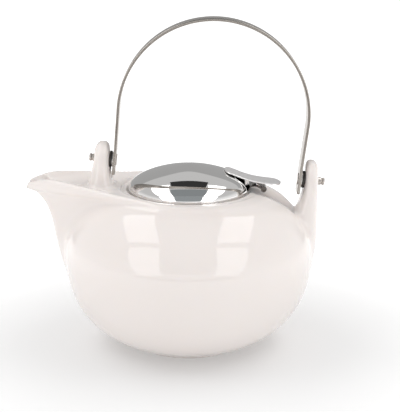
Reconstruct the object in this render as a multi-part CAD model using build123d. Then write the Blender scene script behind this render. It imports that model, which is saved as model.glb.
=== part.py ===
from build123d import *
import math
import os

# Teapot with a hinged steel lid, a lift-out infuser and a swinging bail handle.
# Millimetres. The origin is the centre of the foot's underside, +Z is up, the spout
# points along -X and the rear ear stands on the +X side. The part is symmetric in Y.
# The ceramic is one glazed piece, kept as four solids that meet at level cuts.

os.makedirs("parts", exist_ok=True)

# ---- driving dimensions: ceramic pot -------------------------------------------------
BODY_R = 80.4            # largest radius of the bowl
EQUATOR_Z = 66.0         # height of that radius
BOWL_CUTS = (24.0, 45.0) # level cuts under the equator, where the ceramic's solids meet
BOWL_DEPTH = 68.0        # bowl below the equator, before the foot cuts it off
BOWL_POWER = 2.5         # superellipse power of the bowl, 2 would be an ellipse
SHOULDER = (             # radius and height, from the equator up to the mouth's rim
    (80.4, 66.0), (79.6, 71.2), (77.5, 77.0), (74.3, 82.7), (70.1, 88.7), (65.8, 93.5),
    (61.4, 97.1), (56.8, 99.7), (50.0, 102.0), (41.0, 103.7), (36.0, 104.2),
)
RIM_Z = 103.6            # top of the mouth's rim
COLLAR_R = 43.6          # outside of the rim where it stands clear of the deck
FOOT_R = 36.0
FOOT_INNER_R = 31.0
FOOT_RECESS = 1.2
WALL = 4.5
CAVITY_BASE_R = 30.0     # flat part of the floor inside
CAVITY_TOP_Z = 98.5      # underside of the mouth's thickened rim
MOUTH_R = 37.2
SEAT_R = 40.6            # recess that the infuser's flange lies in
SEAT_Z = 101.9

# ---- spout: height, reach of the keel, tangent circle and nose radius ----------------
SPOUT_STATIONS = (
    (44.0, 76.4, 34.5, 9.5),
    (51.0, 80.3, 36.0, 9.0),
    (62.0, 84.3, 37.5, 8.0),
    (72.5, 86.9, 39.5, 7.0),
    (83.0, 88.9, 41.5, 6.0),
    (90.0, 91.0, 42.7, 5.0),
    (95.5, 93.6, 44.2, 4.2),
    (99.5, 96.7, 46.3, 3.6),
    (102.0, 99.9, 48.4, 3.4),
    (104.2, 104.3, 50.0, 3.6),
    (106.5, 105.0, 50.6, 4.6),
    (110.0, 105.2, 51.2, 6.4),
    (115.0, 105.4, 51.6, 8.0),
)
SPOUT_WALL = 3.6
SPOUT_NOSE_WALL = 4.6
RIDGE = (-28.0, 105.0, 6.4)      # a point (x, z) on the ridges, and their slope in degrees
BEAK = (-90.0, 112.0, -17.5)     # where the ridges turn down towards the lip
DECK = (-45.0, 104.4, 5.2)       # deck floor next to the lid, and its slope
DECK_EDGE = (94.0, 46.0, 3.0)    # reach, tangent circle and nose radius of the deck floor
DECK_THICKNESS = 4.0
POUR_BACK_X = -91.0              # the deck ends here and the pouring channel is open
LIP_NOTCH_R = 4.0
LIP_NOTCH_Z = 109.0

# ---- rear trough under the thumb lever -----------------------------------------------
TROUGH_R = 25.0
TROUGH_FLOOR = (44.0, 101.0)     # a point (x, z) on its floor
TROUGH_SLOPE = 28.4

# ---- pivot line of the bail ----------------------------------------------------------
TILT = 6.18              # the front pivot is higher than the rear one by this angle
PIVOT_X = 12.0           # middle of the pivot line
PIVOT_Z = 116.1
EAR_FACE = 63.0          # flat seats on the ears' inner faces, from the middle
BUSH_R = 3.6
BUSH_FLANGE_R = 5.5
BUSH_FLANGE_T = 1.4
BUSH_END = 71.0
STUD_R = 2.5
STUD_END = 76.2
STUD_HEAD_R = 3.8
STUD_HEAD_T = 0.9
STUD_GROOVE = 0.35
RUNNING_GAP = 0.05
WASHER_R = 4.8
WASHER_T = 0.8

# ---- bail strip ----------------------------------------------------------------------
ARCH_R = 61.4            # outside of the arch
ARCH_CENTRE = 36.0       # its centre above the pivot line
ARM_OUT = 60.7           # outside of the straight arm ends
ARM_SET = 8.0            # the arms start to spread here, above the pivot line
ARM_END = 9.0            # square ends below the pivot line
STRIP_T = 1.9
STRIP_W = 13.8
ARM_SWEEP = 11.9         # the arm ends turn inside this radius

# ---- lid -----------------------------------------------------------------------------
LID_R = 38.7
LID_EDGE_Z = 103.1
LID_RISE = 16.8          # crown above the lid's edge
LID_FULL = (1.32, 2.3)   # powers of the lid's curve: towards the crown, towards the edge
LID_T = 0.8
NOTCH_X = 29.5
NOTCH_HALF_W = 11.0
LEVER_PATH = (
    (23.2, 116.2), (28.7, 114.4), (33.3, 112.5), (38.6, 110.7), (44.0, 109.4), (51.0, 108.4),
    (56.5, 107.7), (59.6, 107.2),
)
LEVER_T = 0.9
LEVER_HALF_W = 8.75

# ---- lid hinge -----------------------------------------------------------------------
HINGE_X = 48.2
HINGE_Z = 104.6
PIN_R = 0.8
PIN_HEAD_R = 1.3
PIN_HEAD_T = 0.4
KNUCKLE_R = 1.9
KNUCKLE_GAP = 0.15
LID_KNUCKLE = 4.2        # half length of the lid's knuckle
BRACKET_HALF_W = 8.0     # the bracket's two knuckles end here
BRACKET_PATH = ((33.5, 103.35), (37.6, 103.35), (40.0, 106.2), (43.4, 106.7), (46.4, 105.0))
BRACKET_T = 0.8

# ---- infuser -------------------------------------------------------------------------
FLANGE_R = 39.2
FLANGE_T = 0.9
FLANGE_LIFT = 0.1        # clear of the ceramic seat
BASKET_R = 34.6
BASKET_T = 0.5
BASKET_BASE_Z = 50.0
RIM_SLEEVE_Z = 94.0      # the rim's plain sleeve ends here
BASE_RING_H = 4.0
HOLE_R = 1.1
HOLE_ROWS = 6
HOLES_ROUND = 24
HOLE_PITCH_Z = 5.6


def bowl_height(radius, shrink):
    """Height of the bowl below the equator at a radius."""
    rest = 1 - (radius / (BODY_R - shrink)) ** BOWL_POWER
    return EQUATOR_Z - (BOWL_DEPTH - shrink) * rest ** (1 / BOWL_POWER)


def bowl_points(low_r, shrink):
    low = math.acos((low_r / (BODY_R - shrink)) ** (BOWL_POWER / 2))
    points = []
    for k in range(7):
        angle = low * (1 - k / 7)
        radius = (BODY_R - shrink) * math.cos(angle) ** (2 / BOWL_POWER)
        points.append((radius, bowl_height(radius, shrink)))
    return points


def shoulder_points(top_z, shrink):
    """The shoulder drawn in along its own normals, up to the height top_z."""
    points = [(BODY_R - shrink, EQUATOR_Z)]
    for below, here, above_it in zip(SHOULDER, SHOULDER[1:], SHOULDER[2:]):
        along = (Vector(above_it) - Vector(below)).normalized()
        moved = Vector(here) + Vector(-along.Y, along.X) * shrink
        if moved.Y > top_z:
            last = Vector(*points[-1])
            share = (top_z - last.Y) / (moved.Y - last.Y)
            points.append((last.X + share * (moved.X - last.X), top_z))
            break
        points.append((moved.X, moved.Y))
    return points


def dome(low_r, top_z, shrink, foot_z):
    """The round pot without its spout, drawn in by shrink all over."""
    points = bowl_points(low_r, shrink) + shoulder_points(top_z, shrink)
    start, end = points[0], points[-1]
    closing = [end, (0, end[1]), (0, foot_z)]
    if foot_z < start[1] - 0.01:
        closing.append((start[0], foot_z))
    closing.append(start)
    face = make_face(Spline(*points) + Polyline(*closing))
    return revolve(Plane.XZ * face, Axis.Z)


def teardrop(z, reach, circle_r, nose_r):
    """A circle about the axis drawn out to a rounded nose at x = -reach."""
    centre = reach - nose_r
    lean = math.asin((circle_r - nose_r) / centre)
    side = Vector(-circle_r * math.sin(lean), circle_r * math.cos(lean))
    nose = Vector(-centre - nose_r * math.sin(lean), nose_r * math.cos(lean))
    side_low = Vector(side.X, -side.Y)
    nose_low = Vector(nose.X, -nose.Y)
    outline = (
        ThreePointArc(side_low, (circle_r, 0), side)
        + Line(side, nose)
        + ThreePointArc(nose, (-reach, 0), nose_low)
        + Line(nose_low, side_low)
    )
    return Pos(0, 0, z) * make_face(outline)


def above(x, z, slope, drop=0.0):
    """Everything above the plane through (x, z) that rises towards -X at slope degrees."""
    return Pos(x, 0, z - drop) * Rot(0, slope, 0) * Pos(0, 0, 100) * Box(500, 300, 200)


def below(x, z, slope, drop=0.0):
    """Everything below the plane through (x, z) that rises towards -X at slope degrees."""
    return Pos(x, 0, z - drop) * Rot(0, slope, 0) * Pos(0, 0, -100) * Box(500, 300, 200)


def spout():
    faces = [teardrop(*station) for station in SPOUT_STATIONS]
    return loft(faces) - above(*RIDGE) - above(*BEAK)


def spout_channel():
    """Hollow of the spout: under the deck, and open to the sky at the beak."""
    faces = []
    for z, reach, circle_r, nose_r in SPOUT_STATIONS[1:]:
        nose = max(nose_r - SPOUT_WALL / 2, 1.0)
        faces.append(teardrop(z, reach - SPOUT_NOSE_WALL, circle_r - SPOUT_WALL, nose))
    hollow = loft(faces) - Pos(0, 0, CAVITY_TOP_Z + 25) * Cylinder(COLLAR_R + 3, 50)
    under_deck = hollow & below(*DECK, drop=DECK_THICKNESS)
    beak = hollow & Pos(POUR_BACK_X - 50, 0, 100) * Box(100, 100, 200)
    return under_deck + beak


def deck_recess():
    tool = extrude(teardrop(90, *DECK_EDGE), 60) & above(*DECK)
    return tool - Cylinder(COLLAR_R, 400)


def trough(grow=0.0):
    """A round-bottomed scoop from the rim down to the rear ear."""
    x, z = TROUGH_FLOOR
    scoop = Rot(0, 90 + TROUGH_SLOPE, 0) * Cylinder(TROUGH_R + grow, 90)
    lean = math.radians(TROUGH_SLOPE)
    return Pos(x + TROUGH_R * math.sin(lean), 0, z + TROUGH_R * math.cos(lean)) * scoop


def ear(side_outline, half_outline):
    """A lug: its side view in XZ met by its end view in YZ."""
    low = side_outline[0]
    side = make_face(Spline(*side_outline) + Polyline(side_outline[-1], low))
    mirrored = [(-y, z) for y, z in reversed(half_outline[:-1])]
    points = list(half_outline) + mirrored
    end = make_face(Spline(*points) + Polyline(points[-1], points[0]))
    slab = extrude(Plane.XZ * side, 30, both=True)
    column = extrude(Plane.YZ * end, 200, both=True)
    return slab & column


def front_ear():
    side = (
        (-66.0, 101.0), (-64.6, 109.0), (-62.9, 116.0), (-60.6, 124.0), (-58.3, 131.0),
        (-54.2, 134.5), (-51.4, 130.5), (-50.6, 123.4), (-49.8, 116.0), (-47.4, 108.0),
        (-45.5, 101.5),
    )
    end = ((13.0, 101.0), (10.8, 110.0), (9.6, 118.0), (9.2, 125.0), (6.4, 132.0), (0.0, 134.5))
    return ear(side, end)


def rear_ear():
    side = (
        (80.0, 58.0), (81.8, 68.0), (83.3, 80.0), (83.8, 95.0), (83.5, 108.0),
        (82.0, 117.5), (78.4, 122.1), (75.7, 118.0), (74.6, 109.0), (72.4, 100.0),
        (68.4, 89.0), (63.0, 80.0),
    )
    end = ((14.5, 58.0), (13.4, 80.0), (10.8, 98.0), (9.2, 109.0), (6.6, 119.0), (0.0, 122.1))
    return ear(side, end)


PIVOT = Plane(
    origin=(PIVOT_X, 0, PIVOT_Z),
    x_dir=(math.cos(math.radians(TILT)), 0, -math.sin(math.radians(TILT))),
    z_dir=(0, -1, 0),
)


def on_pivot(s, t=0.0):
    """A point at s along the pivot line and t above it."""
    return PIVOT.from_local_coords(Vector(s, t, 0))


def pivot_disc(radius, s0, s1):
    """A cylinder on the pivot line from s0 to s1."""
    start = on_pivot(s0)
    end = on_pivot(s1)
    plane = Plane(origin=start, z_dir=end - start)
    return extrude(plane * Circle(radius), abs(s1 - s0))


def pivot_ring(outer, inner, s0, s1):
    return pivot_disc(outer, s0, s1) - pivot_disc(inner, s0, s1)


def pot_body():
    outside = dome(FOOT_R, RIM_Z, 0, 0) + spout()
    outside -= Pos(0, 0, RIM_Z + 25) * Cylinder(COLLAR_R, 50)
    outside -= deck_recess()
    outside -= trough()
    outside += front_ear()
    outside += rear_ear()
    cavity = dome(CAVITY_BASE_R, CAVITY_TOP_Z, WALL, bowl_height(CAVITY_BASE_R, WALL))
    cavity += spout_channel()
    cavity -= trough(WALL - 0.5)
    body = outside - cavity
    body -= Pos(0, 0, 90) * Cylinder(MOUTH_R, 60)
    body -= Pos(0, 0, SEAT_Z + 25) * Cylinder(SEAT_R, 50)
    body -= Pos(0, 0, 0) * Cylinder(FOOT_INNER_R, 2 * FOOT_RECESS)
    body -= Pos(-105, 0, LIP_NOTCH_Z) * Rot(0, 90, 0) * Cylinder(LIP_NOTCH_R, 16)
    for side in (-1, 1):
        body -= pivot_disc(BUSH_FLANGE_R + 0.6, side * 50, side * EAR_FACE)
        body -= pivot_disc(ARM_SWEEP, side * 56, side * (ARM_OUT + 0.5))
        body -= pivot_disc(BUSH_R, side * 50, side * 90)
    return body


def slice_of(body, z0, z1):
    """The part of the pot between two heights."""
    return body & Pos(0, 0, (z0 + z1) / 2) * Box(400, 400, z1 - z0)


def ear_bush(side):
    """Dark flanged liner that keeps the steel stud off the ceramic."""
    bore = STUD_R + RUNNING_GAP
    flange = pivot_ring(BUSH_FLANGE_R, bore, side * (EAR_FACE - BUSH_FLANGE_T), side * EAR_FACE)
    sleeve = pivot_ring(BUSH_R, bore, side * (EAR_FACE - 0.5), side * BUSH_END)
    return flange + sleeve


def washer(side):
    return pivot_ring(WASHER_R, STUD_R, side * ARM_OUT, side * (ARM_OUT + WASHER_T))


def stud(side):
    head_at = ARM_OUT - STRIP_T
    shaft = pivot_disc(STUD_R, side * head_at, side * STUD_END)
    shaft = chamfer(shaft.edges().sort_by(Axis.X)[0 if side < 0 else -1], 0.5)
    head = pivot_disc(STUD_HEAD_R, side * (head_at - STUD_HEAD_T), side * head_at)
    groove = pivot_ring(STUD_R + 1, STUD_R - STUD_GROOVE, side * 73.9, side * 74.6)
    return shaft + head - groove


def strip_face(width):
    """Side view of the bail: two arms and the arch, as one closed band."""

    def run(inset):
        arch = ARCH_R - inset
        arm = ARM_OUT - inset
        left = Polyline((-arm, -ARM_END), (-arm, ARM_SET), (-arch, ARCH_CENTRE))
        over = ThreePointArc((-arch, ARCH_CENTRE), (0, ARCH_CENTRE + arch), (arch, ARCH_CENTRE))
        right = Polyline((arch, ARCH_CENTRE), (arm, ARM_SET), (arm, -ARM_END))
        return left + over + right

    feet = Line((-ARM_OUT, -ARM_END), (-ARM_OUT + STRIP_T, -ARM_END))
    feet += Line((ARM_OUT, -ARM_END), (ARM_OUT - STRIP_T, -ARM_END))
    face = make_face(run(0) + run(STRIP_T) + feet)
    return extrude(PIVOT * face, width / 2, both=True)


def bail_strip():
    strip = strip_face(STRIP_W)
    for side in (-1, 1):
        strip -= pivot_disc(STUD_R, side * 50, side * 70)
    return strip


def band(path, thickness, half_w, bent=False):
    """A sheet along a path in XZ, smooth or with sharp bends, and half_w each way in Y."""
    lower = [(x, z - thickness / 2) for x, z in path]
    upper = [(x, z + thickness / 2) for x, z in path]
    ends = Line(lower[0], upper[0]) + Line(lower[-1], upper[-1])
    curve = Polyline if bent else Spline
    face = make_face(curve(*lower) + curve(*upper) + ends)
    return extrude(Plane.XZ * face, half_w, both=True)


def lid_curve(inset):
    """Half section of the lid from its edge up to the crown."""
    points = []
    for k in range(9):
        turn = math.radians(90 * k / 8)
        radius = (LID_R - inset) * math.cos(turn) ** (2 / LID_FULL[0])
        height = (LID_RISE - inset) * math.sin(turn) ** (2 / LID_FULL[1])
        points.append((radius, LID_EDGE_Z + height))
    return Spline(*points, tangents=((0, 1), (-1, 0)))


def lid_dome():
    outside = lid_curve(0)
    inside = lid_curve(LID_T)
    edge = Line(outside @ 0, inside @ 0)
    crown = Line(outside @ 1, inside @ 1)
    shell = revolve(Plane.XZ * make_face([outside, inside, edge, crown]), Axis.Z)
    notch = Pos(NOTCH_X + 20, 0, 110) * Box(40, 2 * NOTCH_HALF_W, 40)
    return shell - notch


def lever_blank():
    """The lever's plan: a leaf with rounded ends."""
    tip_x, root_x = LEVER_PATH[-1][0], LEVER_PATH[0][0]
    root = Spline(
        (root_x + 3.2, -LEVER_HALF_W),
        (root_x, 0),
        (root_x + 3.2, LEVER_HALF_W),
        tangents=((-1, 0.4), (1, 0.4)),
    )
    tip = Spline(
        (tip_x - 4.5, LEVER_HALF_W),
        (tip_x, 0),
        (tip_x - 4.5, -LEVER_HALF_W),
        tangents=((1, -0.3), (-1, -0.3)),
    )
    plan = make_face(root + Line(root @ 1, tip @ 0) + tip + Line(tip @ 1, root @ 0))
    return extrude(Pos(0, 0, 90) * plan, 40)


def hinge_tube(radius, y0, y1):
    tube = Cylinder(radius, y1 - y0)
    return Pos(HINGE_X, (y0 + y1) / 2, HINGE_Z) * Rot(90, 0, 0) * tube


def save(shape, name):
    shape.label = name
    export_step(shape, f"parts/{name}.step")


def lever():
    return band(LEVER_PATH, LEVER_T, LEVER_HALF_W + 1) & lever_blank()


def lid_knuckle():
    """Barrel on the pin and the tab that carries it under the lever."""
    tab_path = ((HINGE_X - 1.2, HINGE_Z + 0.8), (44.6, 107.4), (41.0, 109.3), (34.0, 111.6))
    tab = band(tab_path, 0.7, LID_KNUCKLE)
    top = band(LEVER_PATH, LEVER_T, 20) + Pos(0, 0, 2) * band(LEVER_PATH, 4, 20)
    piece = hinge_tube(KNUCKLE_R, -LID_KNUCKLE, LID_KNUCKLE) + tab - top
    return piece - hinge_tube(PIN_R + RUNNING_GAP, -20, 20)


def hinge_bracket():
    plate = band(BRACKET_PATH, BRACKET_T, BRACKET_HALF_W, bent=True)
    gap = 2 * (LID_KNUCKLE + KNUCKLE_GAP)
    slot = Pos(HINGE_X, 0, HINGE_Z) * Box(9.5, gap, 12)
    piece = plate - slot
    for side in (-1, 1):
        inner = side * (LID_KNUCKLE + KNUCKLE_GAP)
        outer = side * BRACKET_HALF_W
        piece += hinge_tube(KNUCKLE_R, min(inner, outer), max(inner, outer))
    return piece - hinge_tube(PIN_R, -20, 20)


def hinge_pin():
    pin = hinge_tube(PIN_R, -BRACKET_HALF_W, BRACKET_HALF_W)
    for side in (-1, 1):
        inner = side * BRACKET_HALF_W
        outer = side * (BRACKET_HALF_W + PIN_HEAD_T)
        pin += hinge_tube(PIN_HEAD_R, min(inner, outer), max(inner, outer))
    return pin


def tube(outer, inner, z0, z1):
    middle = Pos(0, 0, (z0 + z1) / 2)
    return middle * (Cylinder(outer, z1 - z0) - Cylinder(inner, z1 - z0))


def infuser_rim():
    """Flange on the ceramic seat with a plain sleeve down into the mouth."""
    under = SEAT_Z + FLANGE_LIFT
    flange = tube(FLANGE_R, BASKET_R - BASKET_T, under, under + FLANGE_T)
    sleeve = tube(BASKET_R + BASKET_T, BASKET_R, RIM_SLEEVE_Z, under)
    return flange + sleeve


def infuser_wall():
    wall = tube(BASKET_R, BASKET_R - BASKET_T, BASKET_BASE_Z, SEAT_Z + FLANGE_LIFT)
    drills = []
    for row in range(HOLE_ROWS):
        z = BASKET_BASE_Z + BASE_RING_H + HOLE_PITCH_Z * (row + 0.9)
        for k in range(HOLES_ROUND // 2):
            turn = 360 / HOLES_ROUND * (k + 0.5 * (row % 2))
            drills.append(Pos(0, 0, z) * Rot(0, 90, turn) * Cylinder(HOLE_R, 3 * BASKET_R))
    return wall - drills


def infuser_base():
    base = Pos(0, 0, BASKET_BASE_Z + BASKET_T / 2) * Cylinder(BASKET_R - BASKET_T, BASKET_T)
    drills = []
    for ring, count in ((8, 6), (16, 12), (24, 18)):
        for k in range(count):
            place = Rot(0, 0, 360 * k / count) * Pos(ring, 0, BASKET_BASE_Z)
            drills.append(place * Cylinder(HOLE_R, 6))
    return base - drills


def infuser_base_ring():
    return tube(BASKET_R + BASKET_T, BASKET_R, BASKET_BASE_Z, BASKET_BASE_Z + BASE_RING_H)


pot = pot_body()
save(slice_of(pot, 0, BOWL_CUTS[0]), "pot_base")
save(slice_of(pot, *BOWL_CUTS), "pot_bowl_lower")
save(slice_of(pot, BOWL_CUTS[1], EQUATOR_Z), "pot_bowl")
save(slice_of(pot, EQUATOR_Z, 200), "pot_shoulder")
save(ear_bush(-1), "front_ear_bush")
save(ear_bush(1), "rear_ear_bush")
save(bail_strip(), "bail_strip")
save(stud(-1), "front_stud")
save(stud(1), "rear_stud")
save(washer(-1), "front_washer")
save(washer(1), "rear_washer")
save(lid_dome(), "lid_dome")
save(lever(), "thumb_lever")
save(lid_knuckle(), "lid_knuckle")
save(hinge_bracket(), "hinge_bracket")
save(hinge_pin(), "hinge_pin")
save(infuser_rim(), "infuser_rim")
save(infuser_wall(), "infuser_wall")
save(infuser_base(), "infuser_base")
save(infuser_base_ring(), "infuser_base_ring")
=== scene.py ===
import math

import bmesh
import bpy
import numpy as np
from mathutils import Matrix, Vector


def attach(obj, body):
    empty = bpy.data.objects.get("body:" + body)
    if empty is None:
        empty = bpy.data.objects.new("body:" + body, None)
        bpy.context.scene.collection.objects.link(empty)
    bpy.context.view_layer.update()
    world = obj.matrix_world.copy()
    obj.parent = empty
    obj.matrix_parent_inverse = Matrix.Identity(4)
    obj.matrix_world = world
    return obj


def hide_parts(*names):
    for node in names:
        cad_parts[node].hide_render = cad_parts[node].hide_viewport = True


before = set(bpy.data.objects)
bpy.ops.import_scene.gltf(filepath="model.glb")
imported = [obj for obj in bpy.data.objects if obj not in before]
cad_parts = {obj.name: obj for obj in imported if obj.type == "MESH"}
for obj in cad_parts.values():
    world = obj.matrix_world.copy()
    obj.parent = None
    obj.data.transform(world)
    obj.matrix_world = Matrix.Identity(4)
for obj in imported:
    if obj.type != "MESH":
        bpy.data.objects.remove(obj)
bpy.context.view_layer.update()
MM = 0.001

# ---- shapes shared with the CAD model, in millimetres --------------------------------
BODY_R, EQUATOR_Z, BOWL_DEPTH, BOWL_POWER = 80.4, 66.0, 68.0, 2.5
DOME_CORE_R = 20.0
SHOULDER = (
    (80.4, 66.0), (79.6, 71.2), (77.5, 77.0), (74.3, 82.7), (70.1, 88.7), (65.8, 93.5),
    (61.4, 97.1), (56.8, 99.7), (50.0, 102.0), (41.0, 103.7), (20.0, 105.0), (0.0, 105.4),
)
RIM_Z, COLLAR_R, FOOT_R, FOOT_INNER_R = 103.6, 43.6, 36.0, 31.0
FOOT_TOP_Z, FOOT_HOLLOW = 12.0, 1.2
WALL, CAVITY_TOP_Z, MOUTH_R, SEAT_R, SEAT_Z = 4.5, 98.5, 37.2, 40.0, 101.9
SPOUT_STATIONS = (
    (44.0, 76.4, 34.5, 9.5), (51.0, 80.3, 36.0, 9.0), (62.0, 84.3, 37.5, 8.0),
    (72.5, 86.9, 39.5, 7.0), (83.0, 88.9, 41.5, 6.0), (90.0, 91.0, 42.7, 5.0),
    (95.5, 93.6, 44.2, 4.2), (99.5, 96.7, 46.3, 3.6), (102.0, 99.9, 48.4, 3.4),
    (104.2, 105.2, 50.0, 4.2), (106.5, 105.9, 50.6, 6.4), (110.0, 106.1, 51.2, 9.2),
    (115.0, 106.3, 51.6, 11.0),
)
SPOUT_WALL, SPOUT_NOSE_WALL, CHANNEL_FROM_Z = 3.6, 4.6, 50.0
RIDGE, BEAK, DECK = (-28.0, 105.2, 6.9), (-90.0, 113.1, -18.5), (-45.0, 104.4, 5.2)
DECK_THICKNESS, POUR_BACK_X = 4.0, -91.0
SPOUT_FROM_Z, FRONT_LUG_FROM_Z, REAR_LUG_FROM_Z = 45.0, 95.0, 54.0
BEAK_NOTCH_R, BEAK_NOTCH_Z, BEAK_NOTCH_X = 3.6, 108.2, -97.0
EAR_CUTS_FROM = 50.0
TROUGH_R, TROUGH_FLOOR, TROUGH_SLOPE = 25.0, (44.0, 101.0), 28.4
TILT, PIVOT_X, PIVOT_Z = 6.18, 12.0, 116.1
EAR_FACE, BUSH_R, BUSH_FLANGE_R = 63.0, 3.6, 5.5
ARCH_R, ARCH_CENTRE, ARM_OUT, ARM_SET, ARM_END = 61.4, 36.0, 60.7, 8.0, 9.0
STRIP_T, STRIP_W, ARM_SWEEP = 1.9, 13.8, 11.9
BUSH_FLANGE_T, BUSH_END, STUD_R, STUD_END = 1.4, 71.0, 2.5, 76.2
STUD_HEAD_R, STUD_HEAD_T, STUD_HEAD_FROM, STUD_GROOVE = 3.8, 0.5, 58.8, 0.45
WASHER_R, WASHER_T, STUD_PLAY = 4.8, 0.8, 0.05
LID_R, LID_EDGE_Z, LID_RISE, LID_FULL, LID_T = 38.9, 103.1, 16.8, (1.32, 2.3), 0.8
NOTCH_X, NOTCH_HALF_W, NOTCH_CORNER_R, NOTCH_EDGE_R = 29.5, 11.0, 3.0, 0.62
LEVER_PATH = (
    (23.2, 116.2), (28.7, 114.4), (33.3, 112.5), (38.6, 110.7), (44.0, 109.4), (51.0, 108.4),
    (56.5, 107.7), (59.6, 107.2),
)
LEVER_T, LEVER_HALF_W, LEVER_ROOT, LEVER_TIP = 0.9, 8.75, 4.2, 6.0
HINGE_X, HINGE_Z, PIN_R, KNUCKLE_R = 48.2, 104.6, 0.8, 1.9
LID_KNUCKLE, KNUCKLE_GAP, BRACKET_HALF_W, BRACKET_T = 4.2, 0.15, 8.0, 0.8
PIN_PLAY, PIN_RECESS = 0.05, 0.4
BRACKET_PATH = ((33.5, 103.35), (37.6, 103.35), (40.0, 106.2), (43.4, 106.7))
FORK_ARM_PATH = ((42.9, 106.7), (44.8, 106.1), (46.6, 104.9))
TAB_PATH = ((HINGE_X - 1.2, HINGE_Z + 0.8), (44.6, 107.4), (41.0, 109.3), (34.0, 111.5))
TAB_T = 0.7
FLANGE_R, FLANGE_T, FLANGE_Z, SLEEVE_Z = 38.7, 0.9, 102.0, 94.0
BASKET_R, BASKET_T, BASKET_BASE_Z, BASE_RING_H = 34.6, 0.5, 50.0, 4.0
MESH_LOW_Z, MESH_HIGH_Z, WALL_HOLES, WALL_ROWS, HOLE_R = 55.0, 91.0, 108, 18, 0.32
BASE_BUTTON_R, BASE_HOLES_R, BASE_ROWS = 1.1, 32.1, 15


# ---- smooth implicit shapes ----------------------------------------------------------
class Curve:
    """A natural cubic spline through (t, value) pairs, held flat outside its ends."""

    def __init__(self, t, v):
        self.t = np.array(t, float)
        self.v = np.array(v, float)
        h = np.diff(self.t)
        n = len(self.t)
        a = np.eye(n)
        b = np.zeros(n)
        for i in range(1, n - 1):
            a[i, i - 1], a[i, i], a[i, i + 1] = h[i - 1], 2 * (h[i - 1] + h[i]), h[i]
            b[i] = 6 * ((self.v[i + 1] - self.v[i]) / h[i] - (self.v[i] - self.v[i - 1]) / h[i - 1])
        self.m = np.linalg.solve(a, b)
        self.h = h

    def __call__(self, x):
        x = np.clip(x, self.t[0], self.t[-1])
        i = np.clip(np.searchsorted(self.t, x) - 1, 0, len(self.h) - 1)
        h, m0, m1 = self.h[i], self.m[i], self.m[i + 1]
        a, b = self.t[i + 1] - x, x - self.t[i]
        return (
            (m0 * a**3 + m1 * b**3) / (6 * h)
            + (self.v[i] / h - m0 * h / 6) * a
            + (self.v[i + 1] / h - m1 * h / 6) * b
        )


def smin(a, b, k):
    h = np.maximum(k - np.abs(a - b), 0) / k
    return np.minimum(a, b) - h**3 * k / 6


def smax(a, b, k):
    return -smin(-a, -b, k)


def polar_radius():
    """Distance of the pot's outline from the middle of the bowl, by angle."""
    angles, radii = [], []
    for k in range(10):
        angle = -math.pi / 2 * (1 - k / 10)
        c, s = math.cos(angle) / BODY_R, math.sin(-angle) / BOWL_DEPTH
        angles.append(angle)
        radii.append((abs(c) ** BOWL_POWER + s**BOWL_POWER) ** (-1 / BOWL_POWER))
    for r, z in SHOULDER:
        angles.append(math.atan2(z - EQUATOR_Z, r))
        radii.append(math.hypot(r, z - EQUATOR_Z))
    return Curve(angles, radii)


POT_RADIUS = polar_radius()
STATIONS = np.array(SPOUT_STATIONS)
REACH, CIRCLE, NOSE = (Curve(STATIONS[:, 0], STATIONS[:, i]) for i in (1, 2, 3))


def dome(p, shrink=0.0):
    r = np.hypot(p[..., 0], p[..., 1])
    dz = p[..., 2] - EQUATOR_Z
    rho = np.hypot(r, dz) + 1e-9
    angle = np.arctan2(dz, r)
    reach = POT_RADIUS(angle)
    slope = (POT_RADIUS(angle + 0.01) - POT_RADIUS(angle - 0.01)) / 0.02
    return (rho - reach) / np.sqrt(1 + (slope / np.maximum(rho, DOME_CORE_R)) ** 2) + shrink


def teardrop(p, inset=0.0, nose_inset=0.0):
    z = p[..., 2]
    reach = REACH(z) - nose_inset
    big = CIRCLE(z) - inset
    small = np.maximum(NOSE(z) - inset / 2, 1.0)
    h = reach - small
    b = (big - small) / h
    a = np.sqrt(1 - b * b)
    across, along = np.abs(p[..., 1]), -p[..., 0]
    k = -b * across + a * along
    at_big = np.hypot(across, along) - big
    at_small = np.hypot(across, along - h) - small
    flank = a * across + b * along - big
    d = np.where(k < 0, at_big, np.where(k > a * h, at_small, flank))
    return d * 0.86


def plane_rise(p, line):
    """Height above a line in XZ that rises towards -X."""
    x, z, slope = line
    return p[..., 2] - (z + (x - p[..., 0]) * math.tan(math.radians(slope)))


def deck_top(p):
    """The saddle between the spout's two ridges."""
    ridge = smax(plane_rise(p, RIDGE), plane_rise(p, BEAK), 6.0)
    centre = plane_rise(p, DECK)
    half = np.maximum((50.5 + 0.466 * p[..., 0]) / 0.885 - 0.6, 6.0)
    share = np.clip(np.abs(p[..., 1]) / half, 0, 1) ** 2
    hollow = np.maximum(centre - ridge, 0) * (1 - share)
    return ridge + hollow


def along_x(p, x0, z0, slope, radius):
    """A round bar in the XZ plane through (x0, z0), falling towards +X at slope."""
    lean = math.radians(slope)
    up = (p[..., 0] - x0) * math.sin(lean) + (p[..., 2] - z0) * math.cos(lean)
    return np.hypot(up, p[..., 1]) - radius


def trough(p, grow=0.0):
    x, z = TROUGH_FLOOR
    lean = math.radians(TROUGH_SLOPE)
    x += TROUGH_R * math.sin(lean)
    z += TROUGH_R * math.cos(lean)
    return along_x(p, x, z, TROUGH_SLOPE, TROUGH_R + grow)


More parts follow.
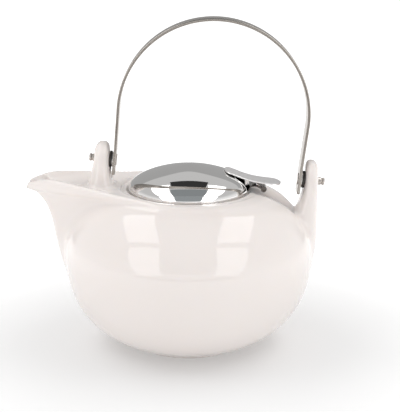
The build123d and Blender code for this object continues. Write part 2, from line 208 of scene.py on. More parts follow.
def lug(p, rows, top, round_from, power=2.6):
    """A tongue of clay: rows of (z, middle x, half thickness, half width)."""
    rows = np.array(rows)
    z = p[..., 2]
    mid, thick, wide = (Curve(rows[:, 0], rows[:, i])(z) for i in (1, 2, 3))
    u = np.abs(p[..., 0] - mid) / thick
    v = np.abs(p[..., 1]) / wide
    w = np.maximum(z - round_from, 0) / (top - round_from)
    g = (u**power + v**power + w**2.2) ** (1 / power) + 1e-9
    steep = g ** (1 - power) * np.sqrt(
        (u ** (power - 1) / thick) ** 2
        + (v ** (power - 1) / wide) ** 2
        + (w**1.2 / (top - round_from)) ** 2
    )
    return (g - 1) / np.maximum(steep, 0.02)


FRONT_LUG = (
    (98.0, -56.5, 10.0, 13.5), (105.0, -56.4, 8.8, 12.2), (110.0, -56.3, 7.5, 11.2),
    (117.0, -56.1, 6.2, 10.0), (123.5, -55.7, 5.3, 9.4), (135.0, -54.6, 5.4, 9.0),
)
REAR_LUG = (
    (50.0, 71.0, 7.0, 15.0), (62.0, 72.0, 9.5, 14.6), (72.0, 73.5, 9.8, 14.0),
    (84.0, 75.4, 8.2, 12.8), (92.0, 76.9, 6.7, 11.6), (100.0, 78.3, 5.4, 10.4),
    (108.8, 79.2, 4.5, 9.5), (123.0, 78.9, 4.4, 9.0),
)
FRONT_LUG_TOP, REAR_LUG_TOP = (134.5, 126.5), (122.1, 114.8)


def pivot_cylinder(p, radius):
    lean = math.radians(TILT)
    dx, dz = p[..., 0] - PIVOT_X, p[..., 2] - PIVOT_Z
    s = dx * math.cos(lean) - dz * math.sin(lean)
    t = dx * math.sin(lean) + dz * math.cos(lean)
    return s, np.hypot(t, p[..., 1]) - radius


def ring_below(p, radius, z):
    """Inside a cylinder on the axis and above z."""
    r = np.hypot(p[..., 0], p[..., 1])
    return smax(r - radius, z - p[..., 2], 0.8)


def pot(p):
    x, z = p[..., 0], p[..., 2]
    r = np.hypot(x, p[..., 1])
    spout = smax(smax(teardrop(p), deck_top(p), 4.0), SPOUT_FROM_Z - z, 3.0)
    shape = smin(dome(p), spout, 9.0)
    shape = smin(shape, smax(r - FOOT_R, z - FOOT_TOP_Z, 1), 2.5)
    shape = smax(shape, -ring_below(p, COLLAR_R, RIM_Z), 4.0)
    shape = smax(shape, -trough(p), 5.0)
    front = smax(lug(p, FRONT_LUG, *FRONT_LUG_TOP), FRONT_LUG_FROM_Z - z, 2.0)
    rear = smax(lug(p, REAR_LUG, *REAR_LUG_TOP), REAR_LUG_FROM_Z - z, 3.0)
    shape = smin(smin(shape, front, 5.0), rear, 6.0)
    channel = smax(teardrop(p, SPOUT_WALL, SPOUT_NOSE_WALL), COLLAR_R + 3 - r, 2.0)
    pour_back = POUR_BACK_X + 2.5 - 0.12 * p[..., 1] ** 2
    roof = smin(plane_rise(p, DECK) + DECK_THICKNESS, x - pour_back, 2.5)
    channel = smax(smax(channel, roof, 1.5), CHANNEL_FROM_Z - z, 2.0)
    cavity = smax(dome(p, WALL), z - CAVITY_TOP_Z, 2.0)
    cavity = smin(cavity, channel, 4.0)
    cavity = smax(cavity, -trough(p, WALL - 0.5), 2.0)
    shape = smax(shape, -cavity, 1.6)
    shape = smax(shape, -smax(r - MOUTH_R, 80 - z, 1), 1.2)
    shape = smax(shape, -smax(r - SEAT_R, SEAT_Z - z, 0.4), 1.0)
    notch = np.hypot(p[..., 1], z - BEAK_NOTCH_Z) - BEAK_NOTCH_R
    notch = smax(notch, x - BEAK_NOTCH_X, 2.0)
    shape = smax(shape, -notch, 2.0)
    shape = smax(shape, -z, 0.8)
    shape = smax(shape, -smax(r - FOOT_INNER_R, z - FOOT_HOLLOW, 0.8), 0.8)
    s, hole = pivot_cylinder(p, BUSH_R)
    off_ear = EAR_CUTS_FROM - np.abs(s)
    shape = smax(shape, -smax(hole, off_ear, 1), 0.7)
    s, seat = pivot_cylinder(p, BUSH_FLANGE_R + 0.6)
    seat = smax(seat, smax(np.abs(s) - EAR_FACE, off_ear, 1), 0.5)
    s, sweep = pivot_cylinder(p, ARM_SWEEP)
    sweep = smax(sweep, smax(np.abs(s) - ARM_OUT - 0.5, off_ear, 1), 1.0)
    return smax(smax(shape, -seat, 0.7), -sweep, 1.5)


def gradient(f, p, step=0.02):
    g = np.empty_like(p)
    for i in range(3):
        d = np.zeros(3)
        d[i] = step
        g[..., i] = (f(p + d) - f(p - d)) / (2 * step)
    return g


def project(f, p, rounds=3):
    for _ in range(rounds):
        g = gradient(f, p)
        p = p - np.clip(f(p) / np.maximum((g * g).sum(-1), 0.05), -0.8, 0.8)[:, None] * g
    return p


def surface_net(f, low, high, cell):
    """Quads on the surface f = 0, each corner at the mean of the edge crossings round it."""
    axes = [np.arange(a, b + cell, cell) for a, b in zip(low, high)]
    shape = [len(a) for a in axes]
    grid = np.empty(shape)
    for i, x in enumerate(axes[0]):
        slab = np.stack(np.meshgrid([x], axes[1], axes[2], indexing="ij"), -1)
        grid[i] = f(slab)[0]
    inside = grid < 0
    total = np.zeros([n - 1 for n in shape] + [3])
    count = np.zeros([n - 1 for n in shape])
    crossings = []
    for axis in range(3):
        a = [slice(None)] * 3
        b = [slice(None)] * 3
        a[axis], b[axis] = slice(0, -1), slice(1, None)
        fa, fb = grid[tuple(a)], grid[tuple(b)]
        cross = inside[tuple(a)] != inside[tuple(b)]
        index = np.argwhere(cross)
        share = fa[cross] / (fa[cross] - fb[cross])
        point = index * cell + np.array(low)
        point[:, axis] += share * cell
        crossings.append((axis, index, inside[tuple(a)][cross]))
        others = [i for i in range(3) if i != axis]
        for du in (0, -1):
            for dv in (0, -1):
                c = index.copy()
                c[:, others[0]] += du
                c[:, others[1]] += dv
                ok = np.all((c >= 0) & (c < np.array(total.shape[:3])), 1)
                np.add.at(total, tuple(c[ok].T), point[ok])
                np.add.at(count, tuple(c[ok].T), 1)
    used = count > 0
    number = -np.ones(used.shape, int)
    number[used] = np.arange(used.sum())
    verts = total[used] / count[used][:, None]
    quads = []
    for axis, index, first_inside in crossings:
        u, v = [(1, 2), (2, 0), (0, 1)][axis]
        corner = []
        for du, dv in ((0, 0), (-1, 0), (-1, -1), (0, -1)):
            c = index.copy()
            c[:, u] += du
            c[:, v] += dv
            corner.append(number[tuple(c.T)])
        q = np.stack(corner, -1)
        q[~first_inside] = q[~first_inside][:, ::-1]
        quads.append(q)
    return verts, np.concatenate(quads)


def relax(f, verts, quads, rounds):
    """Evens out the quads along the surface."""
    for _ in range(rounds):
        total = np.zeros_like(verts)
        count = np.zeros(len(verts))
        for a, b in ((0, 1), (1, 2), (2, 3), (3, 0)):
            for i, j in ((a, b), (b, a)):
                np.add.at(total, quads[:, i], verts[quads[:, j]])
                np.add.at(count, quads[:, i], 1)
        verts = project(f, verts * 0.5 + total / count[:, None] * 0.5, 2)
    return verts


def mesh_piece(name, parts, material, body, replaced, normals=None, crease=38):
    """One piece of one or more (points in mm, faces) lists, welded and smooth-shaded."""
    verts, faces = [], []
    for points, polygons in parts:
        shift = len(verts)
        verts.extend((np.asarray(points) * MM).tolist())
        faces.extend([[int(i) + shift for i in polygon] for polygon in polygons])
    mesh = bpy.data.meshes.new(name)
    mesh.from_pydata(verts, [], faces)
    if normals is None:
        work = bmesh.new()
        work.from_mesh(mesh)
        bmesh.ops.remove_doubles(work, verts=work.verts, dist=1e-6)
        bmesh.ops.dissolve_degenerate(work, edges=work.edges, dist=1e-7)
        bmesh.ops.recalc_face_normals(work, faces=work.faces)
        work.to_mesh(mesh)
        work.free()
    mesh.polygons.foreach_set("use_smooth", [True] * len(mesh.polygons))
    if normals is None:
        mesh.set_sharp_from_angle(angle=math.radians(crease))
    else:
        mesh.normals_split_custom_set_from_vertices(normals.tolist())
    mesh.update()
    piece = bpy.data.objects.new(name, mesh)
    bpy.context.scene.collection.objects.link(piece)
    mesh.materials.append(material)
    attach(piece, body)
    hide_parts(*replaced)
    return piece


# ---- turned and swept shapes ---------------------------------------------------------
def rounded(corners, radius, steps=4):
    """A closed outline with its corners rounded off."""
    points = []
    count = len(corners)
    for k in range(count):
        here = np.array(corners[k], float)
        if here[0] == 0:
            points.append(here)
            continue
        back = np.array(corners[k - 1], float) - here
        ahead = np.array(corners[(k + 1) % count], float) - here
        reach = min(radius, 0.45 * np.hypot(*back), 0.45 * np.hypot(*ahead))
        start = here + back / np.hypot(*back) * reach
        end = here + ahead / np.hypot(*ahead) * reach
        for i in range(steps + 1):
            t = i / steps
            points.append((1 - t) ** 2 * start + 2 * t * (1 - t) * here + t * t * end)
    return np.array(points)


def grid_faces(rows, columns, wrap_rows, wrap_columns):
    faces = []
    for i in range(rows if wrap_rows else rows - 1):
        below = (i + 1) % rows
        for j in range(columns if wrap_columns else columns - 1):
            ahead = (j + 1) % columns
            faces.append(
                (i * columns + j, i * columns + ahead, below * columns + ahead, below * columns + j)
            )
    return faces


def turned(outline, origin, axis, segments=72):
    """Turns a closed outline of (radius, distance along) about an axis."""
    axis = Vector(axis).normalized()
    first = axis.orthogonal().normalized()
    second = axis.cross(first)
    outline = np.maximum(np.asarray(outline, float), [0, -1e9])
    turn = np.arange(segments) * 2 * math.pi / segments
    ring = np.outer(np.cos(turn), first) + np.outer(np.sin(turn), second)
    points = outline[:, None, :1] * ring[None] + outline[:, None, 1:] * np.array(axis)
    points = points.reshape(-1, 3) + np.array(origin)
    return points, grid_faces(len(outline), segments, True, True)


def box_outline(width, thickness, radius, steps=4):
    w, t = width / 2, thickness / 2
    return rounded(((-w, -t), (w, -t), (w, t), (-w, t)), radius, steps)


def swept(path, sections, y_shift=0.0):
    """Sweeps outlines of (y, out of the sheet) along a path of (x, z)."""
    path = np.asarray(path, float)
    ahead = np.gradient(path, axis=0)
    ahead /= np.hypot(ahead[:, 0], ahead[:, 1])[:, None]
    out = np.stack([-ahead[:, 1], ahead[:, 0]], -1)
    rows = []
    for k, section in enumerate(sections):
        flat = path[k] + section[:, 1:] * out[k]
        rows.append(np.stack([flat[:, 0], section[:, 0] + y_shift, flat[:, 1]], -1))
    columns = len(sections[0])
    points = np.concatenate(rows)
    faces = grid_faces(len(rows), columns, False, True)
    faces.append(tuple(range(columns)))
    faces.append(tuple((len(rows) - 1) * columns + j for j in reversed(range(columns))))
    return points, faces


def resampled(path, count):
    """Points spread evenly along a smooth curve through a path's corners."""
    path = np.asarray(path, float)
    run = np.concatenate([[0], np.cumsum(np.hypot(*np.diff(path, axis=0).T))])
    at = np.linspace(0, run[-1], count)
    return np.stack([Curve(run, path[:, 0])(at), Curve(run, path[:, 1])(at)], -1)


def pivot_point(s, t):
    """(x, z) of a point s along the bail's pivot line and t above it."""
    lean = math.radians(TILT)
    x = PIVOT_X + s * math.cos(lean) + t * math.sin(lean)
    z = PIVOT_Z - s * math.sin(lean) + t * math.cos(lean)
    return x, z


def on_pivot(outline, side):
    """A turned part on the bail's pivot line; distances run outwards from the middle."""
    lean = math.radians(TILT)
    axis = (side * math.cos(lean), 0, -side * math.sin(lean))
    return turned(outline, (PIVOT_X, 0, PIVOT_Z), axis)


def across(outline):
    """A turned part on the lid's hinge line."""
    return turned(outline, (HINGE_X, 0, HINGE_Z), (0, 1, 0), 48)


def upright(outline, segments=144):
    return turned(outline, (0, 0, 0), (0, 0, 1), segments)


# ---- materials -----------------------------------------------------------------------
def new_material(name):
    material = bpy.data.materials.new(name)
    material.use_nodes = True
    tree = material.node_tree
    shader = tree.nodes["Principled BSDF"]
    return material, tree, shader


def add(tree, kind, **values):
    node = tree.nodes.new(kind)
    for key, value in values.items():
        if key in node.inputs:
            node.inputs[key].default_value = value
        else:
            setattr(node, key, value)
    return node


def glaze_material():
    material, tree, shader = new_material("glaze")
    shader.inputs["Base Color"].default_value = (0.86, 0.80, 0.77, 1)
    shader.inputs["Roughness"].default_value = 0.035
    shader.inputs["IOR"].default_value = 1.5
    shader.inputs["Subsurface Weight"].default_value = 0.08
    shader.inputs["Subsurface Radius"].default_value = (0.004, 0.003, 0.002)
    place = add(tree, "ShaderNodeTexCoord")
    waves = add(tree, "ShaderNodeTexNoise", Scale=42.0, Detail=2.0)
    bump = add(tree, "ShaderNodeBump", Strength=0.012, Distance=0.001)
    tree.links.new(place.outputs["Object"], waves.inputs["Vector"])
    tree.links.new(waves.outputs["Fac"], bump.inputs["Height"])
    tree.links.new(bump.outputs["Normal"], shader.inputs["Normal"])
    tone = add(tree, "ShaderNodeTexNoise", Scale=9.0, Detail=3.0)
    ramp = add(tree, "ShaderNodeValToRGB")
    ramp.color_ramp.elements[0].position = 0.3
    ramp.color_ramp.elements[0].color = (0.855, 0.795, 0.765, 1)
    ramp.color_ramp.elements[1].position = 0.7
    ramp.color_ramp.elements[1].color = (0.875, 0.82, 0.79, 1)
    tree.links.new(place.outputs["Object"], tone.inputs["Vector"])
    tree.links.new(tone.outputs["Fac"], ramp.inputs["Fac"])
    tree.links.new(ramp.outputs["Color"], shader.inputs["Base Color"])
    return material


def steel_material(name, colour, roughness, grain=None, strength=0.15, spread=0.08):
    """Steel; grain is the (x, y, z) scale of its brush lines, or None if polished."""
    material, tree, shader = new_material(name)
    shader.inputs["Base Color"].default_value = (*colour, 1)
    shader.inputs["Metallic"].default_value = 1.0
    shader.inputs["Roughness"].default_value = roughness
    place = add(tree, "ShaderNodeTexCoord")
    lines = add(tree, "ShaderNodeMapping")
    lines.inputs["Scale"].default_value = grain or (30, 30, 30)
    noise = add(tree, "ShaderNodeTexNoise", Scale=1.0, Detail=4.0)
    level = add(tree, "ShaderNodeMapRange")
    level.inputs["To Min"].default_value = max(roughness - spread, 0.02)
    level.inputs["To Max"].default_value = roughness + spread
    tree.links.new(place.outputs["Object"], lines.inputs["Vector"])
    tree.links.new(lines.outputs["Vector"], noise.inputs["Vector"])
    tree.links.new(noise.outputs["Fac"], level.inputs["Value"])
    tree.links.new(level.outputs["Result"], shader.inputs["Roughness"])
    if grain:
        bump = add(tree, "ShaderNodeBump", Strength=strength, Distance=0.0002)
        tree.links.new(noise.outputs["Fac"], bump.inputs["Height"])
        tree.links.new(bump.outputs["Normal"], shader.inputs["Normal"])
    return material


def bush_material():
    material, tree, shader = new_material("bush")
    shader.inputs["Base Color"].default_value = (0.035, 0.03, 0.027, 1)
    shader.inputs["Roughness"].default_value = 0.45
    place = add(tree, "ShaderNodeTexCoord")
    noise = add(tree, "ShaderNodeTexNoise", Scale=1500.0, Detail=2.0)
    bump = add(tree, "ShaderNodeBump", Strength=0.2, Distance=0.0001)
    tree.links.new(place.outputs["Object"], noise.inputs["Vector"])
    tree.links.new(noise.outputs["Fac"], bump.inputs["Height"])
    tree.links.new(bump.outputs["Normal"], shader.inputs["Normal"])
    return material


GLAZE = glaze_material()
MIRROR = steel_material("mirror_steel", (0.80, 0.79, 0.78), 0.03, spread=0.015)
PIVOT = steel_material("pivot_steel", (0.50, 0.46, 0.43), 0.18, (900, 900, 900), 0.05)
# Bail steel: its dark, warm colour is painted shade and painted brown reflection; the brush lines are its
# real finish.
SHADED_BRUSHED = steel_material("brushed_steel", (0.40, 0.37, 0.34), 0.25, (60, 2600, 60))
LEVER = steel_material("lever_steel", (0.90, 0.885, 0.88), 0.40, (60, 2600, 60))
SATIN = steel_material("satin_steel", (0.68, 0.66, 0.64), 0.22, (900, 900, 900), 0.05)
# Hinge steel darkened to near black: painted shade standing for the shadow under the lever, not the
# metal's own colour.
SHADED_STEEL = steel_material("shade_painted_steel", (0.15, 0.135, 0.125), 0.14, (700, 700, 700), 0.05)
BUSH = bush_material()

# ---- ceramic pot ---------------------------------------------------------------------
cell = 1.3
verts, quads = surface_net(pot, (-108.0, -83.2, -2.0), (87.0, 83.2, 137.0), cell)
verts = project(pot, verts)
verts = relax(pot, verts, quads, 2)
normals = gradient(pot, verts)
normals /= np.linalg.norm(normals, axis=1)[:, None]
ceramic = ("pot_base", "pot_bowl_lower", "pot_bowl", "pot_shoulder")
mesh_piece("pot_glazed", [(verts, quads)], GLAZE, "pot", ceramic, normals)

# ---- bail, its studs and liners ------------------------------------------------------
STUD = (
    (0, STUD_HEAD_FROM - STUD_HEAD_T), (STUD_HEAD_R, STUD_HEAD_FROM - STUD_HEAD_T),
    (STUD_HEAD_R, STUD_HEAD_FROM), (STUD_R, STUD_HEAD_FROM),
    (STUD_R, STUD_END - 2.4), (STUD_R - STUD_GROOVE, STUD_END - 2.2),
    (STUD_R - STUD_GROOVE, STUD_END - 1.7), (STUD_R, STUD_END - 1.5),
    (STUD_R, STUD_END - 0.6), (STUD_R - 0.6, STUD_END), (0, STUD_END),
)
LINER = (
    (STUD_R + STUD_PLAY, EAR_FACE - BUSH_FLANGE_T), (BUSH_FLANGE_R, EAR_FACE - BUSH_FLANGE_T),
    (BUSH_FLANGE_R, EAR_FACE), (BUSH_R, EAR_FACE), (BUSH_R, BUSH_END), (STUD_R + STUD_PLAY, BUSH_END),
)
WASHER = (
    (STUD_R, ARM_OUT), (WASHER_R, ARM_OUT), (WASHER_R, ARM_OUT + WASHER_T),
    (STUD_R, ARM_OUT + WASHER_T),
)


def between(a, b, share):
    return tuple((1 - share) * i + share * j for i, j in zip(a, b))


def bail_path():
    """The strip's middle line: two straight arms that lean out into a round arch."""
    mid = STRIP_T / 2
    arm, arch = ARM_OUT - mid, ARCH_R - mid
    points = [(-arm, t) for t in np.linspace(-ARM_END, ARM_SET, 8)]
    points += [between((-arm, ARM_SET), (-arch, ARCH_CENTRE), k / 12) for k in range(1, 12)]
    turn = np.linspace(math.pi, 0, 121)
    points += [(arch * math.cos(a), ARCH_CENTRE + arch * math.sin(a)) for a in turn]
    points += [(-s, t) for s, t in points[18::-1]]
    points = [pivot_point(s, t) for s, t in points]
    foot, head = between(*points[:2], 0.1), between(*points[:-3:-1], 0.1)
    near_foot, near_head = between(foot, points[1], 0.15), between(head, points[-2], 0.15)
    return [foot, near_foot, *points[1:-1], near_head, head]


path = bail_path()
strip = box_outline(STRIP_W, STRIP_T, 0.5)
ends = box_outline(STRIP_W - 0.5, STRIP_T - 0.5, 0.3)
sections = [ends] + [strip] * (len(path) - 2) + [ends]
mesh_piece("bail", [swept(path, sections)], SHADED_BRUSHED, "handle", ("bail_strip",))
for side, name in ((-1, "front"), (1, "rear")):
    stud = on_pivot(rounded(STUD, 0.25), side)
    liner = on_pivot(rounded(LINER, 0.3), side)
    ring = on_pivot(rounded(WASHER, 0.2), side)
    mesh_piece(name + "_pivot_stud", [stud], PIVOT, "handle", (name + "_stud",))
    mesh_piece(name + "_liner", [liner], BUSH, "pot", (name + "_ear_bush",))
    mesh_piece(name + "_ring", [ring], SATIN, "handle", (name + "_washer",))


# ---- lid -----------------------------------------------------------------------------
def lid_section(inset, rows):
    """Radii and heights from the crown out to the lid's edge."""
    turn = np.linspace(math.pi / 2, 0, rows)
    radius = (LID_R - inset) * np.maximum(np.cos(turn), 0) ** (2 / LID_FULL[0])
    height = (LID_RISE - inset) * np.sin(turn) ** (2 / LID_FULL[1])
    return np.stack([radius, LID_EDGE_Z + height], -1)


def notch_angle(radius):
    """Half the angle that the notch takes out of the lid at a radius."""
    front = np.arccos(np.minimum(NOTCH_X / np.maximum(radius, 1), 1))
    flank = np.arcsin(np.minimum(NOTCH_HALF_W / np.maximum(radius, 1), 1))
    return np.minimum(front, flank)


def lid_shell(columns=220, rows=110):
    outside = lid_section(0, rows)
    inside = lid_section(LID_T, rows)[::-1]
    bend = np.linspace(0, math.pi, 9)[1:-1]
    half = LID_T / 2
    edge = np.stack([LID_R - half + half * np.cos(bend), LID_EDGE_Z - half * np.sin(bend)], -1)
    section = np.concatenate([outside, edge, inside])
    points = []
    for radius, height in section:
        gap = notch_angle(radius)
        turn = np.linspace(gap, 2 * math.pi - gap, columns)
        level = np.full(columns, height)
        points.append(np.stack([radius * np.cos(turn), radius * np.sin(turn), level], -1))
    return np.concatenate(points), grid_faces(len(section), columns, False, False)


def piped(points, radius, segments=14):
    """A round wire along 3-D points."""
    points = np.asarray(points, float)
    ahead = np.gradient(points, axis=0)
    ahead /= np.linalg.norm(ahead, axis=1)[:, None]
    side = np.cross(ahead[0], [0.3, 0.2, 1.0])
    turn = np.arange(segments) * 2 * math.pi / segments
    rings = []
    for k, middle in enumerate(points):
        side = side - ahead[k] * side.dot(ahead[k])
        side /= np.linalg.norm(side)
        up = np.cross(ahead[k], side)
        rings.append(middle + radius * (np.outer(np.cos(turn), side) + np.outer(np.sin(turn), up)))
    faces = grid_faces(len(points), segments, False, True)
    faces.append(tuple(range(segments)))
    faces.append(tuple((len(points) - 1) * segments + j for j in reversed(range(segments))))
    return np.concatenate(rings), faces


def notch_edge():
    """Middle line of the rolled edge round the lid's notch."""
    section = lid_section(LID_T / 2, 400)[::-1]
    bend = NOTCH_CORNER_R
    mouth_x = math.sqrt((LID_R - LID_T / 2) ** 2 - NOTCH_HALF_W**2)
    plan = [(x, -NOTCH_HALF_W) for x in np.linspace(mouth_x, NOTCH_X + bend, 18)]
    for turn in np.linspace(-math.pi / 2, -math.pi, 9)[1:]:
        plan.append((NOTCH_X + bend + bend * math.cos(turn), -NOTCH_HALF_W + bend + bend * math.sin(turn)))
    plan += [(NOTCH_X, y) for y in np.linspace(-NOTCH_HALF_W + bend, 0, 10)[1:]]
    plan += [(x, -y) for x, y in plan[-2::-1]]
    radius = np.hypot(*np.array(plan).T)
    height = np.interp(-radius, -section[:, 0], section[:, 1])
    return [(x, y, z) for (x, y), z in zip(plan, height)]


mesh_piece(
    "lid_cap", [lid_shell(), piped(notch_edge(), NOTCH_EDGE_R)], MIRROR, "lid", ("lid_dome",),
    crease=50,
)


def lever():
    """A leaf, rounded in plan at both ends."""
    ends = LEVER_PATH[0][0], LEVER_PATH[-1][0]
    spread = 0.5 - 0.5 * np.cos(np.linspace(0, math.pi, 70))
    run = resampled(LEVER_PATH, 400)
    at = np.interp(ends[0] + (ends[1] - ends[0]) * spread, run[:, 0], np.arange(400))
    line = np.stack([np.interp(at, np.arange(400), run[:, i]) for i in (0, 1)], -1)
    sections = []
    for x in line[:, 0]:
        root = np.clip((ends[0] + LEVER_ROOT - x) / LEVER_ROOT, 0, 1)
        tip = np.clip((x - ends[1] + LEVER_TIP) / LEVER_TIP, 0, 1)
        half = LEVER_HALF_W * math.sqrt(max(1 - root**2.2, 0)) * math.sqrt(max(1 - tip**2.2, 0))
        sections.append(box_outline(2 * max(half, 0.25), LEVER_T, 0.4))
    return swept(line, sections)


mesh_piece("lever_leaf", [lever()], LEVER, "lid", ("thumb_lever",))


# ---- hinge ---------------------------------------------------------------------------
def barrel(y0, y1):
    bore = PIN_R + PIN_PLAY
    corners = ((bore, y0), (KNUCKLE_R, y0), (KNUCKLE_R, y1), (bore, y1))
    return across(rounded(corners, 0.25))


def plate(path, width, thickness, y_shift=0.0, count=24):
    line = resampled(path, count)
    return swept(line, [box_outline(width, thickness, 0.3)] * count, y_shift)


# The fork, lid barrel and pin take the shade-painted steel: their darkness is painted shade.
inner, outer = LID_KNUCKLE + KNUCKLE_GAP, BRACKET_HALF_W
fork = [plate(BRACKET_PATH, 2 * outer, BRACKET_T, count=40)]
for side in (-1, 1):
    fork.append(plate(FORK_ARM_PATH, outer - inner, BRACKET_T, side * (inner + outer) / 2))
    fork.append(barrel(*sorted((side * inner, side * outer))))
mesh_piece("hinge_fork", fork, SHADED_STEEL, "infuser", ("hinge_bracket",))
knuckle = [barrel(-LID_KNUCKLE, LID_KNUCKLE), plate(TAB_PATH, 2 * LID_KNUCKLE, TAB_T)]
mesh_piece("lid_barrel", knuckle, SHADED_STEEL, "lid", ("lid_knuckle",))
half = outer - PIN_RECESS
pin = across(((0, -half), (PIN_R, -half), (PIN_R, half), (0, half)))
mesh_piece("barrel_pin", [pin], SHADED_STEEL, "infuser", ("hinge_pin",))


# ---- infuser -------------------------------------------------------------------------
def perforated(columns, rows, hole, place):
    """A sheet of square cells, each with a round hole, laid out by place(u, v, depth)."""
    sides = 16
    turn = np.arange(sides) * 2 * math.pi / sides
    ring = np.stack([np.cos(turn), np.sin(turn)], -1)
    square = ring * (0.5 / np.abs(ring).max(1))[:, None]
    loops = ((square, 0), (ring * hole, 0), (ring * hole, 1), (square, 1))
    row, column = (a.ravel() for a in np.meshgrid(np.arange(rows), np.arange(columns), indexing="ij"))
    points = []
    for loop, depth in loops:
        u = (column[:, None] + 0.5 + 0.5 * (row[:, None] % 2) + loop[:, 0]) / columns
        v = (row[:, None] + 0.5 + loop[:, 1]) / rows
        points.append(place(u, v, depth))
    points = np.stack(points, 1).reshape(-1, 3)
    base = (np.arange(rows * columns) * 4 * sides)[:, None]
    k = np.arange(sides)
    ahead = (k + 1) % sides
    faces = []
    for level in (0, 1, 2):
        a, b = base + level * sides, base + (level + 1) * sides
        faces.append(np.stack([a + k, a + ahead, b + ahead, b + k], -1).reshape(-1, 4))
    return points, np.concatenate(faces)


def on_wall(low, high):
    def place(u, v, depth):
        radius = BASKET_R - BASKET_T * depth
        turn = 2 * math.pi * u
        return np.stack([radius * np.cos(turn), radius * np.sin(turn), low + (high - low) * v], -1)

    return place


def on_base(low, high):
    def place(u, v, depth):
        radius = low + (high - low) * v
        turn = 2 * math.pi * u
        height = np.full_like(radius, BASKET_BASE_Z + BASKET_T * depth)
        return np.stack([radius * np.cos(turn), radius * np.sin(turn), height], -1)

    return place


def sleeve(inner, outer, low, high, radius=0.2):
    return upright(rounded(((inner, low), (outer, low), (outer, high), (inner, high)), radius))


inner = BASKET_R - BASKET_T
wall = [
    sleeve(inner, BASKET_R, BASKET_BASE_Z, MESH_LOW_Z),
    perforated(WALL_HOLES, WALL_ROWS, HOLE_R, on_wall(MESH_LOW_Z, MESH_HIGH_Z)),
    sleeve(inner, BASKET_R, MESH_HIGH_Z, FLANGE_Z),
]
mesh_piece("basket_wall", wall, SATIN, "infuser", ("infuser_wall",))
base_top = BASKET_BASE_Z + BASKET_T
button = ((0, BASKET_BASE_Z), (BASE_BUTTON_R, BASKET_BASE_Z), (BASE_BUTTON_R, base_top), (0, base_top))
base = [upright(button), sleeve(BASE_HOLES_R, inner, BASKET_BASE_Z, base_top)]
step = (BASE_HOLES_R - BASE_BUTTON_R) / BASE_ROWS
for k in range(BASE_ROWS):
    low, high = BASE_BUTTON_R + step * k, BASE_BUTTON_R + step * (k + 1)
    count = max(int(math.pi * (low + high) / step), 6)
    base.append(perforated(count, 1, HOLE_R, on_base(low, high)))
mesh_piece("basket_base", base, SATIN, "infuser", ("infuser_base",))
ring = sleeve(BASKET_R, BASKET_R + BASKET_T, BASKET_BASE_Z, BASKET_BASE_Z + BASE_RING_H)
mesh_piece("basket_ring", [ring], SATIN, "infuser", ("infuser_base_ring",))
RIM = (
    (inner, FLANGE_Z), (inner, FLANGE_Z + FLANGE_T), (FLANGE_R, FLANGE_Z + FLANGE_T),
    (FLANGE_R, FLANGE_Z), (BASKET_R + BASKET_T, FLANGE_Z), (BASKET_R + BASKET_T, SLEEVE_Z),
    (BASKET_R, SLEEVE_Z), (BASKET_R, FLANGE_Z),
)
mesh_piece("basket_rim", [upright(rounded(RIM, 0.35))], SATIN, "infuser", ("infuser_rim",))

# ---- stage ---------------------------------------------------------------------------
scene = bpy.context.scene
scene.view_settings.view_transform = "Standard"
camera = bpy.data.objects.new("camera", bpy.data.cameras.new("camera"))
scene.collection.objects.link(camera)
camera.location = (0.007345, -0.7244, 0.2856)
camera.rotation_euler = (math.radians(75), 0, 0)
camera.data.sensor_width = 36
camera.data.lens = 100.8
camera.data.clip_start = 0.01
scene.camera = camera


def card(name, corners, radiance, colour=(1, 1, 1), lights=False):
    """A flat studio card that polished faces reflect; it lights dull ones if asked."""
    mesh = bpy.data.meshes.new(name)
    mesh.from_pydata(corners, [], [(0, 1, 2, 3)])
    piece = bpy.data.objects.new(name, mesh)
    scene.collection.objects.link(piece)
    material, tree, shader = new_material(name)
    shader.inputs["Base Color"].default_value = (0, 0, 0, 1)
    shader.inputs["Specular IOR Level"].default_value = 0
    shader.inputs["Emission Color"].default_value = (*colour, 1)
    shader.inputs["Emission Strength"].default_value = radiance
    mesh.materials.append(material)
    piece.visible_camera = False
    piece.visible_shadow = False
    piece.visible_diffuse = lights
    return piece


def floor():
    """A pale floor whose glow is painted light: weaker near the pot, a painted shade round it, and
    stronger away from it.
    """
    mesh = bpy.data.meshes.new("floor")
    mesh.from_pydata([(-6, -6, 0), (6, -6, 0), (6, 6, 0), (-6, 6, 0)], [], [(0, 1, 2, 3)])
    piece = bpy.data.objects.new("floor", mesh)
    scene.collection.objects.link(piece)
    material, tree, shader = new_material("floor")
    shader.inputs["Base Color"].default_value = (0.72, 0.72, 0.72, 1)
    shader.inputs["Roughness"].default_value = 0.9
    shader.inputs["Specular IOR Level"].default_value = 0.0
    shader.inputs["Emission Color"].default_value = (1, 1, 1, 1)
    place = add(tree, "ShaderNodeTexCoord")
    away = add(tree, "ShaderNodeVectorMath", operation="LENGTH")
    # Emission rises from 0.2 near the pot to 0.7 away from it: painted light over the floor, with a
    # painted shade near the pot.
    painted_glow = add(tree, "ShaderNodeMapRange", interpolation_type="SMOOTHSTEP")
    painted_glow.inputs["From Min"].default_value = 0.07
    painted_glow.inputs["From Max"].default_value = 0.40
    painted_glow.inputs["To Min"].default_value = 0.2
    painted_glow.inputs["To Max"].default_value = 0.7
    tree.links.new(place.outputs["Object"], away.inputs[0])
    tree.links.new(away.outputs["Value"], painted_glow.inputs["Value"])
    tree.links.new(painted_glow.outputs["Result"], shader.inputs["Emission Strength"])
    mesh.materials.append(material)


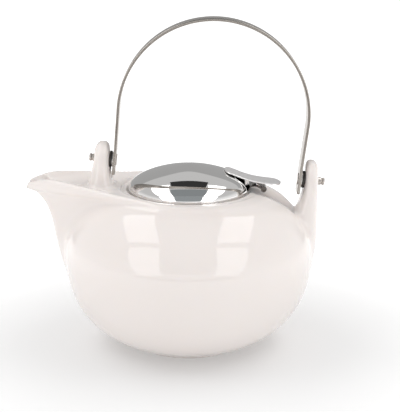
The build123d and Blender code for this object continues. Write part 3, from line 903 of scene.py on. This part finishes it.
def sky(low, high):
    """Even light that falls off from the horizon to overhead."""
    world = bpy.data.worlds.new("studio")
    scene.world = world
    world.use_nodes = True
    tree = world.node_tree
    place = add(tree, "ShaderNodeTexCoord")
    split = add(tree, "ShaderNodeSeparateXYZ")
    level = add(tree, "ShaderNodeMapRange")
    level.inputs["From Min"].default_value = 0.1
    level.inputs["From Max"].default_value = 0.45
    level.inputs["To Min"].default_value = low
    level.inputs["To Max"].default_value = high
    tree.links.new(place.outputs["Generated"], split.inputs["Vector"])
    tree.links.new(split.outputs["Z"], level.inputs["Value"])
    tree.links.new(level.outputs["Result"], tree.nodes["Background"].inputs["Strength"])
    tree.nodes["Background"].inputs["Color"].default_value = (1, 1, 1, 1)


floor()
sky(1.0, 0.62)
COOL, WARM = (0.9, 0.97, 1.0), (1.0, 0.85, 0.75)
for side, name in ((-1, "left"), (1, "right")):
    upper = ((0.27, 0.54, 1.10), (0.61, 0.53, 0.98), (0.91, -0.32, 0.86), (0.47, -0.64, 1.03))
    lower = ((0.47, -0.73, 0.97), (0.91, -0.42, 0.82), (0.88, -0.92, 0.02), (0.48, -1.18, 0.14))
    card("window_upper_" + name, [(side * x, y, z) for x, y, z in upper], 2.75, lights=True)
    card("window_lower_" + name, [(side * x, y, z) for x, y, z in lower], 2.6)
for name, half_near, half_far, near, far, radiance, colour in (
    ("dark_overhead", 0.28, 0.28, (0.30, 1.2), (0.80, 1.2), 0.04, (1, 1, 1)),
    ("bar_overhead", 0.28, 0.28, (0.82, 1.2), (1.05, 1.2), 0.62, (1, 1, 1)),
    ("gap_overhead", 0.56, 0.36, (-0.75, 1.25), (0.22, 1.25), 0.3, COOL),
    ("gap_front", 0.6, 0.56, (-1.35, 0.25), (-0.76, 1.25), 0.36, COOL),
    ("dark_floor", 0.7, 0.7, (-1.3, 0.004), (-0.5, 0.004), 0.2, WARM),
    ("back_wall", 2.6, 2.6, (2.2, 0.02), (2.2, 1.8), 0.42, (1, 1, 1)),
):
    corners = [(-half_near, *near), (half_near, *near), (half_far, *far), (-half_far, *far)]
    card(name, corners, radiance, colour)
